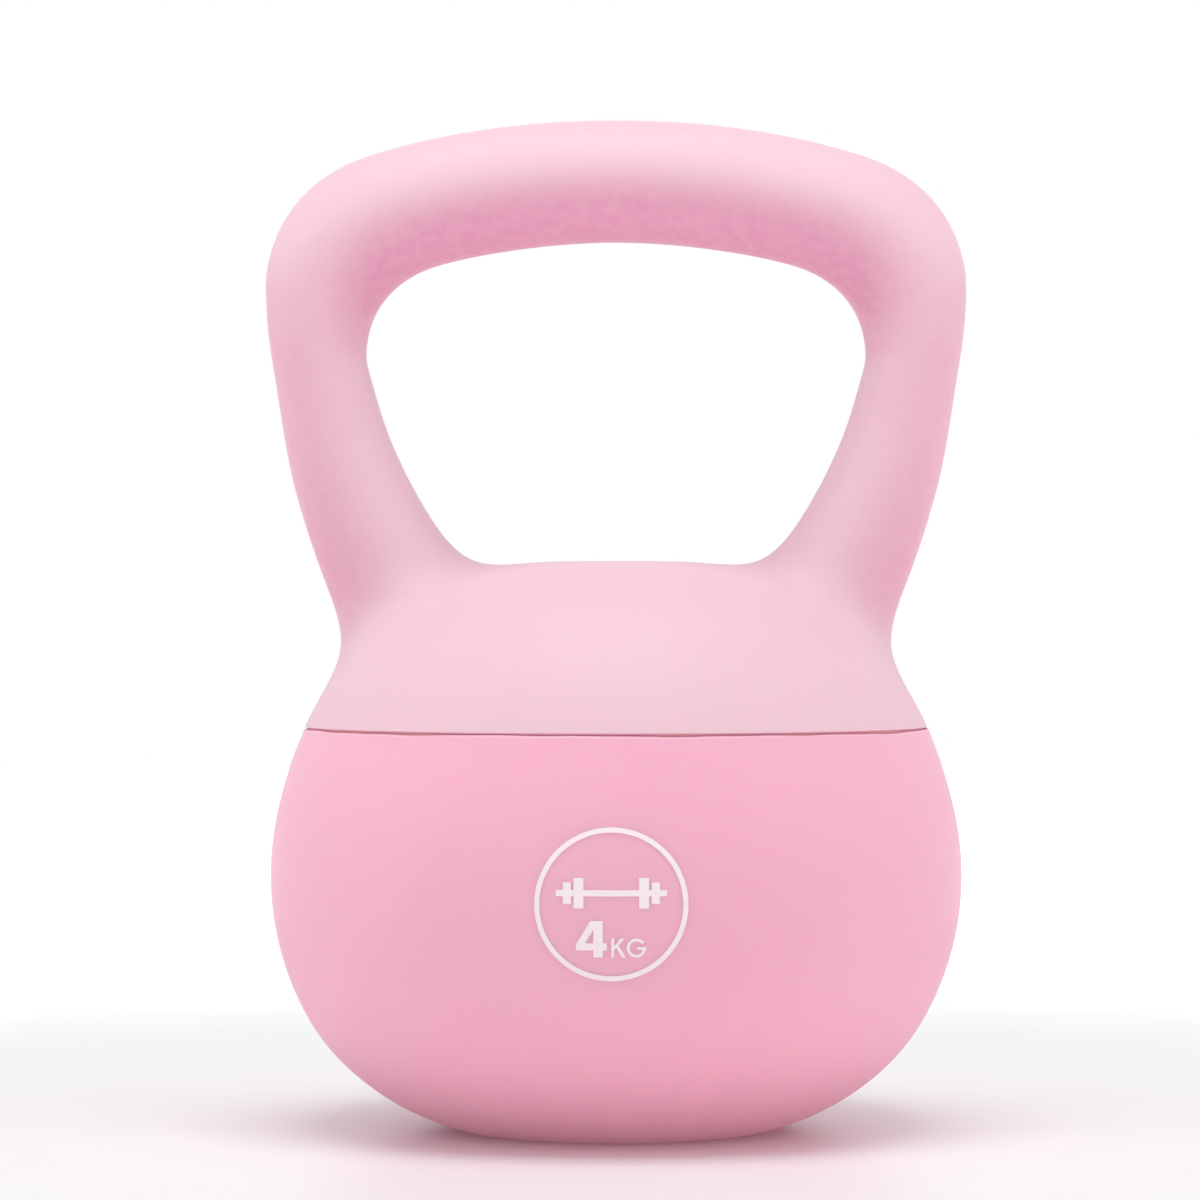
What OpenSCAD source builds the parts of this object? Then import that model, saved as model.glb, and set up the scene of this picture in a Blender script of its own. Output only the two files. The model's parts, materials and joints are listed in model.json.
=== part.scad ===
// Soft kettlebell, 4 kg class: moulded handle and shoulder on a soft sand-filled body.
// Z is up, millimetres, the origin is the centre of the foot on the floor.
// The loop of the handle lies in the XZ plane; the front faces -Y.

/* [Overall] */
// Height from the floor to the top of the grip
total_height = 240.2; // [200:0.1:300]
// Height of the seam between shoulder and body
seam_height = 95.5; // [80:0.1:120]
// Radius of the shoulder at the seam
seam_radius = 74.1; // [60:0.1:90]
// Gap left at the seam, where the gasket's edge shows
seam_gap = 0.65; // [0.3:0.05:2]

/* [Handle loop] */
// Height of the top of the opening
opening_top = 211.1; // [180:0.1:240]
// Half width across the outside of the loop
loop_half_width = 83.6; // [60:0.1:110]
// Height at which the loop is widest
loop_wide_height = 201; // [170:0.5:230]
// Half width of the opening at its widest
opening_half_width = 59.6; // [40:0.1:80]
// Height at which the opening is widest
opening_wide_height = 183.75; // [150:0.25:220]
// Half thickness of grip and legs from front to back
grip_half_depth = 14.4; // [10:0.1:20]
// Wall of the moulded shell
shell_wall = 3; // [2:0.1:5]
// Gap on the joint plane between the two halves
joint_gap = 0.04; // [0.02:0.01:0.2]

/* [Legs] */
// Leg axis, distance from the centre at its upper end
leg_x = 71.62; // [55:0.01:85]
// Height of the upper end of the leg axis
leg_z = 190; // [160:0.5:210]
// Lean of the leg at its upper end, degrees
leg_lean = 4.73; // [0:0.01:15]
// Inward bend of the leg axis, mm per mm squared
leg_bend = 0.004; // [0:0.0001:0.01]
// Half width of the leg at its upper end
leg_half_width = 11.43; // [8:0.01:16]
// Widening of the leg towards its foot, mm per mm squared
leg_flare = 0.00158; // [0:0.00001:0.005]
// Deepening of the leg towards its foot, mm per mm squared
leg_deepening = 0.0006; // [0:0.0001:0.005]

/* [Shoulder dome] */
// Radius of the dome
dome_radius = 81.6; // [70:0.1:95]
// Height of the dome's centre
dome_height = 62.1; // [50:0.1:80]
// How much the crown of the dome is flattened
dome_flat = 8.75; // [0:0.05:15]
// Spread of the flattened crown
dome_spread = 0.469; // [0.3:0.001:0.8]
// Reach of the fillet between legs and dome
fillet_reach = 17.5; // [5:0.5:40]
// Inside lip at the bottom of the shoulder, thickness
lip_thickness = 3; // [2:0.1:5]
// Inside lip, radius of its opening
lip_radius = 60; // [50:0.5:66]

/* [Soft body] */
// Radius of the body at its widest
body_radius = 82.4; // [70:0.1:95]
// Height at which the body is widest
body_wide_height = 60.4; // [45:0.1:75]
// Section radius at the widest part
belly_arc = 68.8; // [50:0.1:90]
// Section radius above the belly
upper_arc = 97; // [70:1:150]
// Section radius below the belly
lower_arc = 49.7; // [35:0.1:70]
// Section radius down to the foot
foot_arc = 62; // [40:0.5:90]
// Where the belly arc ends above, degrees
belly_up = 10.9; // [5:0.1:20]
// Where the belly arc ends below, degrees
belly_down = 29.2; // [20:0.1:40]
// Where the lower arc ends, degrees
lower_end = 47; // [40:0.5:60]
// Wall of the soft cup
cup_wall = 3.5; // [2:0.1:6]
// Floor of the soft cup
cup_floor = 4; // [2:0.1:8]
// Opening in the cup's top flange, radius
mouth_radius = 46; // [35:0.5:60]
// Opening in the base, radius
base_opening = 30; // [20:0.5:36]

/* [Fasteners and fill] */
// Number of clamp screws
screw_count = 8; // [6:1:12]
// Radius of the screw circle
screw_circle = 54; // [48:0.5:58]
// Diameter of the clamp screws
screw_diameter = 4; // [3:0.5:6]
// Thickness of the clamp ring
clamp_thickness = 4; // [2:0.5:8]
// Level of the iron sand
sand_level = 76.9; // [50:0.1:80]
// Thickness of the foam pad on the sand
foam_thickness = 6.4; // [4:0.5:15]

/* [Weight mark] */
// Height of the mark's centre
mark_height = 57.9; // [40:0.1:75]
// Sideways shift of the mark
mark_shift = -1.3; // [-5:0.1:5]
// Outside diameter of the ring
mark_diameter = 34.4; // [25:0.1:50]
// Line width of the ring
mark_line = 1.15; // [0.6:0.05:3]
// Depth of the recess around the mark
mark_recess = 0.5; // [0.2:0.1:1.5]
// Thickness of the printed layer
print_thickness = 0.2; // [0.1:0.05:0.5]

/* [Hidden] */
$fn = 96;

shell_pink = [0.95, 0.81, 0.85];
body_pink = [0.95, 0.68, 0.77];
// Clearance round loose fill, and between stacked hard pieces
fit = 0.3;
play = 0.1;

// ---- outline curves of the loop, as cubic pieces: [x, z, heading, arm before, arm after]
outer_knots = [
    [0, total_height, 0, 0, 14],
    [59.05, total_height - 8.5, -18, 23.5, 23.4],
    [loop_half_width, loop_wide_height, -90, 4.6, 34.1],
    [65.6, 116.4, -90, 8, 0]];
opening_knots = [
    [0, opening_top, 0, 0, 17.9],
    [46.4, opening_top - 7, -25, 7.5, 9.2],
    [opening_half_width, opening_wide_height, -90, 9.4, 5.5],
    [44, 145.1, -123.6, 14.6, 0]];
pieces_per_knot = 40;

function cubic(a, b, c, d, t) =
    pow(1 - t, 3) * a + 3 * pow(1 - t, 2) * t * b + 3 * (1 - t) * t * t * c + pow(t, 3) * d;
function heading(deg) = [cos(deg), sin(deg)];
function spot(k) = [k[0], k[1]];
function trace(knots, n) = [
    for (i = [0 : len(knots) - 2], j = [i == 0 ? 0 : 1 : n])
        cubic(spot(knots[i]), spot(knots[i]) + knots[i][4] * heading(knots[i][2]),
            spot(knots[i + 1]) - knots[i + 1][3] * heading(knots[i + 1][2]),
            spot(knots[i + 1]), j / n)];
function travel(p) = [
    for (i = 0, s = 0; i < len(p); s = s + (i + 1 < len(p) ? norm(p[i + 1] - p[i]) : 0), i = i + 1)
        s];
function axis_table(p, s, axis) = [for (i = [0 : len(p) - 1]) [s[i], p[i][axis]]];

outer_line = trace(outer_knots, pieces_per_knot);
outer_travel = travel(outer_line);
outer_x = axis_table(outer_line, outer_travel, 0);
outer_z = axis_table(outer_line, outer_travel, 1);
opening_line = trace(opening_knots, pieces_per_knot);
opening_travel = travel(opening_line);
opening_x = axis_table(opening_line, opening_travel, 0);
opening_z = axis_table(opening_line, opening_travel, 1);
function outer_at(s) = [lookup(s, outer_x), 0, lookup(s, outer_z)];
function opening_at(s) = [lookup(s, opening_x), 0, lookup(s, opening_z)];

// ---- the lower handle is a dome and two legs, joined by a soft fillet
function dome(p) = let (
        r2 = p[0] * p[0] + p[1] * p[1],
        d2 = r2 + pow(p[2] - dome_height, 2))
    sqrt(d2) - dome_radius + dome_flat * exp(-r2 / (dome_spread * dome_spread * d2));
function leg(p) = let (
        across = p[0] - leg_x, down = leg_z - p[2],
        t = max(0, -across * sin(leg_lean) + down * cos(leg_lean)),
        off = -across * cos(leg_lean) - down * sin(leg_lean) - leg_bend * t * t,
        half = leg_half_width + leg_flare * t * t,
        deep = grip_half_depth + leg_deepening * t * t)
    (norm([off / half, p[1] / deep]) - 1) * half;
function shoulder(p) = let (
        a = dome(p), b = leg(p),
        h = max(fillet_reach - abs(a - b), 0) / fillet_reach)
    min(a, b) - h * h * h * fillet_reach / 6;
function reach(c, d, inset, lo = 0, hi = 110, n = 24) = n == 0 ? (lo + hi) / 2 :
    let (m = (lo + hi) / 2)
    shoulder(c + m * d) < -inset ? reach(c, d, inset, m, hi, n - 1)
        : reach(c, d, inset, lo, m, n - 1);

// ---- stations round the right half of the loop, from the grip's middle to the front
// Upper stations are pinned by distances along the two outlines, lower ones by the
// centre each section fans out from and the headings of its two ends.
pinned_outer = [0, 46, 82, 112, 142];
pinned_opening = [0, 40, 59.5, 72, 89];
fan_x = [63.5, 55.6, 50, 45.5, 36.5, 19, 0];
fan_z = [155, 138, 125, 116.5, 112.5, 111, 111];
fan_inner = [166, 147, 133, 124, 113, 100, 90];
fan_outer = [-15, -19, -30, -37.6];
last_pinned = 3;
seam_corner = 7;
last_station = 10;
steps = 5;
outer_rows = 14;
inner_rows = 9;
fan_fullness = 1.4;

function smooth(v, t) = let (
        n = len(v) - 1, i = min(floor(t), n - 1), f = t - i,
        b = v[i], c = v[i + 1],
        a = i > 0 ? v[i - 1] : 2 * v[0] - v[1],
        d = i + 2 <= n ? v[i + 2] : 2 * v[n] - v[n - 1])
    0.5 * (2 * b + (c - a) * f + (2 * a - 5 * b + 4 * c - d) * f * f
        + (3 * b - a - 3 * c + d) * f * f * f);
function unit(v) = v / norm(v);
function flat_heading(deg) = [cos(deg), 0, sin(deg)];

pin_opening = opening_at(pinned_opening[last_pinned]);
pin_outer = outer_at(pinned_outer[last_pinned]);
pin_centre = (pin_opening + pin_outer) / 2;
pin_angle = 180 + atan((pin_outer[2] - pin_opening[2]) / (pin_outer[0] - pin_opening[0]));
join_x = concat([2 * pin_centre[0] - fan_x[0], pin_centre[0]], fan_x);
join_z = concat([2 * pin_centre[2] - fan_z[0], pin_centre[2]], fan_z);
join_inner = concat([2 * pin_angle - fan_inner[0], pin_angle], fan_inner);
join_outer = concat([0, pin_angle - 180], fan_outer);

function seam_point(k, r, z) = let (a = (k - seam_corner) * 30) [r * cos(a), -r * sin(a), z];
function pinned(k) = let (
        h = opening_at(smooth(pinned_opening, k)), o = outer_at(smooth(pinned_outer, k)),
        c = (h + o) / 2)
    [c, unit(h - c), unit(o - c), norm(h - c)];
function fanned(k) = let (
        j = k - last_pinned + 1,
        c = [smooth(join_x, j), 0, smooth(join_z, j)],
        e = k < seam_corner ? flat_heading(smooth(join_outer, j))
            : unit(seam_point(k, seam_radius, seam_height) - c))
    [c, flat_heading(smooth(join_inner, j)), e, 0];
function hand_over(k) = let (w = min(max(k - last_pinned, 0), 1)) w * w * (3 - 2 * w);
function station(k) = k <= last_pinned ? pinned(k) : k >= last_pinned + 1 ? fanned(k) :
    let (w = hand_over(k), p = pinned(k), f = fanned(k))
    [p[0] * (1 - w) + f[0] * w, unit(p[1] * (1 - w) + f[1] * w),
        unit(p[2] * (1 - w) + f[2] * w), p[3]];
function tube_reach(d, half, deep) =
    1 / norm([sqrt(max(0, 1 - d[1] * d[1])) / half, d[1] / deep]);
function grip_depth(k) = grip_half_depth + 0.2 * min(max(2.5 - k, 0), 1);
function skin_point(k, v, inset) = let (
        s = station(k), w = hand_over(k),
        d = unit(pow(1 - v, 2) * s[1] + 2 * v * (1 - v) * fan_fullness * [0, -1, 0]
            + v * v * s[2]),
        tube = w < 1 ? tube_reach(d, s[3] - inset, grip_depth(k) - inset) : 0,
        blend = w > 0 ? reach(s[0], d, inset) : 0,
        far = tube * (1 - w) + blend * w)
    k < seam_corner ? s[0] + far * d :
    let (
        goal = inset == 0 ? seam_point(k, seam_radius, seam_height)
            : seam_point(k, lip_wall_radius, seam_height + lip_thickness),
        miss = goal - s[0] - reach(s[0], s[2], inset) * s[2])
    s[0] + far * d + miss * pow(v, 6);
lip_wall_radius = sqrt(pow(dome_radius - shell_wall - 0.15, 2)
    - pow(seam_height + lip_thickness - dome_height, 2));

half_count = last_station * steps;
corner_count = seam_corner * steps;
loop_count = 2 * half_count;
seam_count = 2 * (half_count - corner_count) + 1;
function mirror_x(p) = [-p[0], p[1], p[2]];
function loop_skin(rows, inset) =
    let (side = [for (i = [0 : half_count]) [for (j = [0 : rows])
        let (p = skin_point(i / steps, j / rows, inset))
        [i == 0 || i == half_count ? 0 : p[0], j == 0 || (j == rows && i <= corner_count)
            ? 0 : p[1], p[2]]]])
    [for (s = [0 : loop_count - 1], j = [0 : rows])
        s <= half_count ? side[s][j] : mirror_x(side[loop_count - s][j])];
function lip_ring(z) = [for (i = [0 : seam_count - 1])
    let (a = i * 180 / (seam_count - 1)) [lip_radius * cos(a), -lip_radius * sin(a), z]];
function quad(a, b, c, d) = [[a, b, c], [a, c, d]];
function joined(lists) = [for (l = lists) each l];

inner_base = loop_count * (outer_rows + 1);
lip_low = inner_base + loop_count * (inner_rows + 1);
lip_high = lip_low + seam_count;
function next(s) = (s + 1) % loop_count;
function outer_id(s, j) = s * (outer_rows + 1) + j;
function inner_id(s, j) = inner_base + s * (inner_rows + 1) + j;
function on_seam(s) = s >= corner_count && s < loop_count - corner_count;
function lip_low_id(s) = lip_low + s - corner_count;
function lip_high_id(s) = lip_high + s - corner_count;
last_seam = loop_count - corner_count;
half_faces = concat(
    joined([for (s = [0 : loop_count - 1], j = [0 : outer_rows - 1])
        quad(outer_id(s, j), outer_id(s, j + 1), outer_id(next(s), j + 1), outer_id(next(s), j))]),
    joined([for (s = [0 : loop_count - 1], j = [0 : inner_rows - 1])
        quad(inner_id(s, j), inner_id(next(s), j), inner_id(next(s), j + 1), inner_id(s, j + 1))]),
    joined([for (s = [0 : loop_count - 1])
        quad(outer_id(s, 0), outer_id(next(s), 0), inner_id(next(s), 0), inner_id(s, 0))]),
    joined([for (s = [0 : loop_count - 1]) if (!on_seam(s))
        quad(outer_id(s, outer_rows), inner_id(s, inner_rows), inner_id(next(s), inner_rows),
            outer_id(next(s), outer_rows))]),
    joined([for (s = [corner_count : last_seam - 1])
        concat(quad(outer_id(s, outer_rows), lip_low_id(s), lip_low_id(s + 1),
                outer_id(s + 1, outer_rows)),
            quad(lip_low_id(s), lip_high_id(s), lip_high_id(s + 1), lip_low_id(s + 1)),
            quad(lip_high_id(s), inner_id(s, inner_rows), inner_id(s + 1, inner_rows),
                lip_high_id(s + 1)))]),
    quad(outer_id(corner_count, outer_rows), inner_id(corner_count, inner_rows),
        lip_high_id(corner_count), lip_low_id(corner_count)),
    quad(outer_id(last_seam, outer_rows), lip_low_id(last_seam), lip_high_id(last_seam),
        inner_id(last_seam, inner_rows)));

module shell_half()
    translate([0, -joint_gap / 2, 0])
        polyhedron(concat(loop_skin(outer_rows, 0), loop_skin(inner_rows, shell_wall),
            lip_ring(seam_height), lip_ring(seam_height + lip_thickness)), half_faces, 10);

module handle_front_half() color(shell_pink) shell_half();

module handle_rear_half() color(shell_pink) mirror([0, 1, 0]) shell_half();

// ---- section of the soft body, inset by w, between two heights
belly_centre = [body_radius - belly_arc, body_wide_height];
upper_centre = belly_centre + (belly_arc - upper_arc) * heading(belly_up);
lower_centre = belly_centre + (belly_arc - lower_arc) * heading(-belly_down);
foot_centre = lower_centre + (lower_arc - foot_arc) * heading(-lower_end);
function arc_height(c, r, deg) = c[1] + r * sin(deg);

module slice(c, r, z0, z1)
    if (z1 > z0) intersection() {
        union() {
            translate(c) circle(r = r);
            if (c[0] > 0) translate([0, z0]) square([c[0], z1 - z0]);
        }
        translate([0, z0]) square([2 * body_radius, z1 - z0]);
    }

module body_section(w, z0, z1) {
    foot_end = arc_height(lower_centre, lower_arc - w, -lower_end);
    lower_top = arc_height(belly_centre, belly_arc - w, -belly_down);
    belly_top = arc_height(belly_centre, belly_arc - w, belly_up);
    slice(foot_centre, foot_arc - w, z0, min(foot_end, z1));
    slice(lower_centre, lower_arc - w, max(foot_end, z0), min(lower_top, z1));
    slice(belly_centre, belly_arc - w, max(lower_top, z0), min(belly_top, z1));
    slice(upper_centre, upper_arc - w, max(belly_top, z0), z1);
}

cup_top = seam_height - seam_gap;
clamp_top = cup_top - cup_wall - play;
clamp_bottom = clamp_top - clamp_thickness;
clamp_inner = 44;
clamp_width = 23;
washer_thickness = 1;
head_height = 2.6;
head_bottom = clamp_bottom - play - washer_thickness - head_height;
foam_top = sand_level + play + foam_thickness;
collar_flange_z = cup_floor + play;
collar_top = 15;
plug_face = 1.4;
plug_radius = 25;

module on_screw_circle()
    for (i = [0 : screw_count - 1])
        rotate([0, 0, (i + 0.5) * 360 / screw_count]) translate([screw_circle, 0, 0])
            children();

module recess_tool(depth)
    difference() {
        translate([mark_shift, -body_radius - 1, mark_height]) rotate([-90, 0, 0])
            cylinder(r = mark_diameter / 2 + 1.6, h = 20);
        rotate_extrude() body_section(depth, 20, 90);
    }

module soft_shell() color(body_pink)
    difference() {
        rotate_extrude()
            difference() {
                body_section(0, 0, cup_top);
                body_section(cup_wall, cup_floor, cup_top - cup_wall);
                translate([0, -1]) square([base_opening, cup_floor + 2]);
                translate([0, cup_top - cup_wall - 1]) square([mouth_radius, cup_wall + 2]);
            }
        on_screw_circle() translate([0, 0, cup_top - cup_wall - 1])
            cylinder(d = screw_diameter + 1, h = cup_wall + 2);
        recess_tool(mark_recess);
    }

module seam_gasket() color([0.86, 0.6, 0.67])
    difference() {
        rotate_extrude() translate([mouth_radius + 1, cup_top + play / 2])
            square([seam_radius - 0.8 - mouth_radius - 1, seam_gap - play]);
        on_screw_circle() translate([0, 0, cup_top - 1]) cylinder(d = screw_diameter + 1, h = 3);
    }

plate_radius = 66.4;
boss_height = 8;
rib_width = 2;
hub_radius = 12;
hub_bore = 9.5;
module bulkhead_plate() color([0.86, 0.86, 0.84])
    difference() {
        union() {
            translate([0, 0, seam_height]) cylinder(r = lip_radius - 0.4, h = 4);
            translate([0, 0, seam_height + lip_thickness + 0.05])
                cylinder(r = plate_radius, h = 3);
            on_screw_circle() translate([0, 0, seam_height + 3])
                cylinder(d = 10, h = boss_height + 3);
            for (a = [0 : 45 : 135]) rotate([0, 0, a])
                translate([-lip_radius + 4, -rib_width / 2, seam_height + 3])
                    cube([2 * lip_radius - 8, rib_width, boss_height]);
            translate([0, 0, seam_height + 3]) cylinder(r = hub_radius, h = boss_height);
        }
        translate([0, 0, seam_height + 4]) cylinder(r = hub_bore, h = boss_height + 1);
        on_screw_circle() translate([0, 0, seam_height - 1])
            cylinder(d = screw_diameter, h = boss_height + 5);
    }

module clamp_ring() color([0.86, 0.86, 0.84])
    difference() {
        translate([0, 0, clamp_bottom]) rotate_extrude() difference() {
            translate([clamp_inner, 0]) square([clamp_width, clamp_thickness]);
            translate([clamp_inner + clamp_width + 0.4, -0.4]) rotate(45) square([3, 3], center = true);
        }
        on_screw_circle() translate([0, 0, clamp_bottom - 1])
            cylinder(d = screw_diameter + 0.5, h = clamp_thickness + 2);
    }

module clamp_washers() color([0.75, 0.76, 0.78])
    on_screw_circle() translate([0, 0, clamp_bottom - play / 2 - washer_thickness])
        difference() {
            cylinder(d = 10, h = washer_thickness);
            translate([0, 0, -1]) cylinder(d = screw_diameter + 0.3, h = washer_thickness + 2);
        }

module clamp_screws() color([0.7, 0.71, 0.74])
    on_screw_circle() translate([0, 0, head_bottom]) difference() {
        union() {
            cylinder(d1 = 6.2, d2 = 7.6, h = 1);
            translate([0, 0, 1]) cylinder(d = 7.6, h = head_height - 1);
            translate([0, 0, head_height - 0.5])
                cylinder(d = screw_diameter - 0.1, h = 20.5);
            translate([0, 0, head_height + 20]) cylinder(d1 = screw_diameter - 0.1, d2 = 1, h = 2);
        }
        for (a = [0, 90]) rotate([0, 0, a])
            translate([-2, -0.45, -1]) cube([4, 0.9, 2.5]);
    }

module foam_disc() color([0.3, 0.3, 0.32])
    rotate_extrude() body_section(cup_wall + fit, sand_level + play, foam_top);

module iron_sand() color([0.24, 0.23, 0.23])
    rotate_extrude() difference() {
        body_section(cup_wall + fit, collar_flange_z + 2.8, sand_level);
        square([base_opening + 0.3, collar_top + fit]);
    }

module fill_collar() color([0.88, 0.8, 0.82])
    rotate_extrude() difference() {
        union() {
            translate([0, 1]) square([base_opening - play, collar_top - 1]);
            translate([0, collar_flange_z]) square([40, 2.5]);
        }
        translate([-1, 0]) square([plug_radius + 1.2, collar_top + 1]);
    }

module fill_plug() color([0.9, 0.72, 0.78])
    difference() {
        rotate_extrude() difference() {
            translate([0, plug_face]) square([plug_radius, 12.1]);
            translate([-1, plug_face + 4]) square([22, 10]);
            translate([23.1, 8.6]) square([3, 2.4]);
            translate([plug_radius, plug_face]) rotate(45) square(1.2, center = true);
        }
        for (a = [0, 180]) rotate([0, 0, a]) translate([13, 0, plug_face - 1])
            cylinder(d = 5, h = 3.5);
    }

module plug_oring() color([0.15, 0.15, 0.16])
    rotate_extrude() translate([24.15, 9.8]) circle(r = 0.95);

// ---- the printed mark: a ring, a plain dumbbell sign and the weight figure
module bar(x0, y0, x1, y1) translate([x0, y0]) square([x1 - x0, y1 - y0]);

module digit_four() {
    bar(3.9, 0, 6, 8.2);
    bar(0, 1.6, 6.9, 3.2);
    polygon([[0, 2.9], [3.2, 8.2], [5, 8.2], [1.9, 2.9]]);
}

module unit_letters() {
    bar(0, 0, 0.65, 4.3);
    polygon([[0.6, 1.6], [0.6, 2.5], [2.1, 4.3], [3, 4.3]]);
    polygon([[1.05, 2.2], [1.6, 2.8], [3.2, 0], [2.4, 0]]);
    translate([5.6, 2.15]) {
        difference() {
            circle(d = 4.3);
            circle(d = 3);
            polygon([[0, 0], [4, 0.3], [4, 2.7]]);
        }
        bar(0.2, -0.45, 2.15, 0.2);
    }
}

module dumbbell_sign() {
    bar(-12.4, -0.7, 12.4, 0.7);
    for (m = [0, 1]) mirror([m, 0]) {
        bar(6.2, -3.4, 8.4, 3.4);
        bar(9, -2.4, 10.8, 2.4);
    }
}

module mark_plan() {
    difference() {
        circle(d = mark_diameter);
        circle(d = mark_diameter - 2 * mark_line);
    }
    translate([0, 2.6]) dumbbell_sign();
    translate([-7.9, -11.8]) digit_four();
    translate([0, -11.8]) unit_letters();
}

module weight_mark() color([0.99, 0.93, 0.95])
    intersection() {
        translate([mark_shift, -body_radius + 19, mark_height]) rotate([90, 0, 0])
            linear_extrude(20) mark_plan();
        rotate_extrude() difference() {
            body_section(mark_recess - print_thickness, 30, 85);
            body_section(mark_recess, 29, 86);
        }
    }

handle_front_half();
handle_rear_half();
bulkhead_plate();
seam_gasket();
soft_shell();
clamp_ring();
clamp_washers();
clamp_screws();
foam_disc();
iron_sand();
fill_collar();
fill_plug();
plug_oring();
weight_mark();
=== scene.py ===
import json
import math

import bmesh
import bpy
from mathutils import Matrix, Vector, noise

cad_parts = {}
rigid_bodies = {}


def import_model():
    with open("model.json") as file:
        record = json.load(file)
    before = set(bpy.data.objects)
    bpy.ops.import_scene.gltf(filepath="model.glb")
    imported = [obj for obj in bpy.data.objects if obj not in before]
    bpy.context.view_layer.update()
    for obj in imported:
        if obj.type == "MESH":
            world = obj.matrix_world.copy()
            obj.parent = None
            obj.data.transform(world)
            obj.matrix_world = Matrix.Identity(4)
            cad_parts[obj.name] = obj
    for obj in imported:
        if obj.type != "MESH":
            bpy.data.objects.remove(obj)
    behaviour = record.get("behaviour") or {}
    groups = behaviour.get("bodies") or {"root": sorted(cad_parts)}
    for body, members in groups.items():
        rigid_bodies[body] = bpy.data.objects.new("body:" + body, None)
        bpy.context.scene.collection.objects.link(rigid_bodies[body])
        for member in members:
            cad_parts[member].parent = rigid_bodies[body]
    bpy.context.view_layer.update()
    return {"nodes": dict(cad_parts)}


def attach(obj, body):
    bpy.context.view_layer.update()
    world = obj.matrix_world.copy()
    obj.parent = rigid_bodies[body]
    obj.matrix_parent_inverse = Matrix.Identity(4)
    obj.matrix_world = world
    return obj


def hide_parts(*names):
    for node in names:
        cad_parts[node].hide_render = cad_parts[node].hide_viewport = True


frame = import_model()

# Sizes are in millimetres until a mesh is made; MM turns them into metres.
MM = 0.001

# ---------------------------------------------------------------- sizes, as in the CAD
# Overall height, and the seam between shoulder and body
TOTAL_HEIGHT = 240.2
SEAM_Z, SEAM_R, SEAM_GAP = 95.5, 74.1, 0.65
# Loop and opening: half widths and the heights at which they are widest
LOOP_HALF_WIDTH, LOOP_WIDE_Z = 83.6, 201
OPENING_TOP, OPENING_HALF_WIDTH, OPENING_WIDE_Z = 211.1, 59.6, 183.75
# Moulded halves: wall, inside lip, the wall's setback at the lip, gap on the joint plane
WALL = 3.0
LIP_T, LIP_R, LIP_SETBACK = 3.0, 60.0, 0.15
JOINT_GAP = 0.04
# Grip: half depth, and the little more that it has up to station SWELL_END
GRIP_DEPTH, GRIP_SWELL, SWELL_END = 14.4, 0.2, 2.5
# Legs: upper end of the axis, its lean and bend, half width and how both sizes grow
LEG_X, LEG_Z, LEG_LEAN, LEG_BEND = 71.62, 190.0, math.radians(4.73), 0.004
LEG_HALF, LEG_FLARE, LEG_DEEPEN = 11.43, 0.00158, 0.0006
# Shoulder dome, its flattened crown, and the fillet between dome and legs
DOME_R, DOME_Z, DOME_FLAT, DOME_SPREAD = 81.6, 62.1, 8.75, 0.469
FILLET = 17.5
# Soft body: widest radius and its height, section arcs and where they end, in degrees
BODY_R, BODY_Z = 82.4, 60.4
BELLY_ARC, UPPER_ARC, LOWER_ARC, FOOT_ARC = 68.8, 97.0, 49.7, 62.0
BELLY_UP, BELLY_DOWN, LOWER_END = 10.9, 29.2, 47.0
CUP_WALL, CUP_FLOOR, MOUTH_R, BASE_OPENING = 3.5, 4.0, 46.0, 30.0
# Recess round the printed mark
MARK_X, MARK_Z, MARK_R, MARK_RECESS = -1.3, 57.9, 17.2, 0.5


# ---------------------------------------------------------------- small helpers
def smoothstep(a, b, x):
    t = min(max((x - a) / (b - a), 0.0), 1.0)
    return t * t * (3 - 2 * t)


# An edge that bends more than this stays sharp.
SHARP_ANGLE = math.radians(38.0)


def mesh_object(name, points, faces, material):
    """A mesh object from points in millimetres, smooth except at sharp edges."""
    mesh = bpy.data.meshes.new(name)
    mesh.from_pydata([tuple(c * MM for c in p) for p in points], [], faces)
    bm = bmesh.new()
    bm.from_mesh(mesh)
    bmesh.ops.recalc_face_normals(bm, faces=bm.faces)
    for face in bm.faces:
        face.smooth = True
    for edge in bm.edges:
        edge.smooth = len(edge.link_faces) == 2 and edge.calc_face_angle(0) < SHARP_ANGLE
    bm.to_mesh(mesh)
    bm.free()
    obj = bpy.data.objects.new(name, mesh)
    bpy.context.scene.collection.objects.link(obj)
    mesh.materials.append(material)
    return obj


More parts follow.
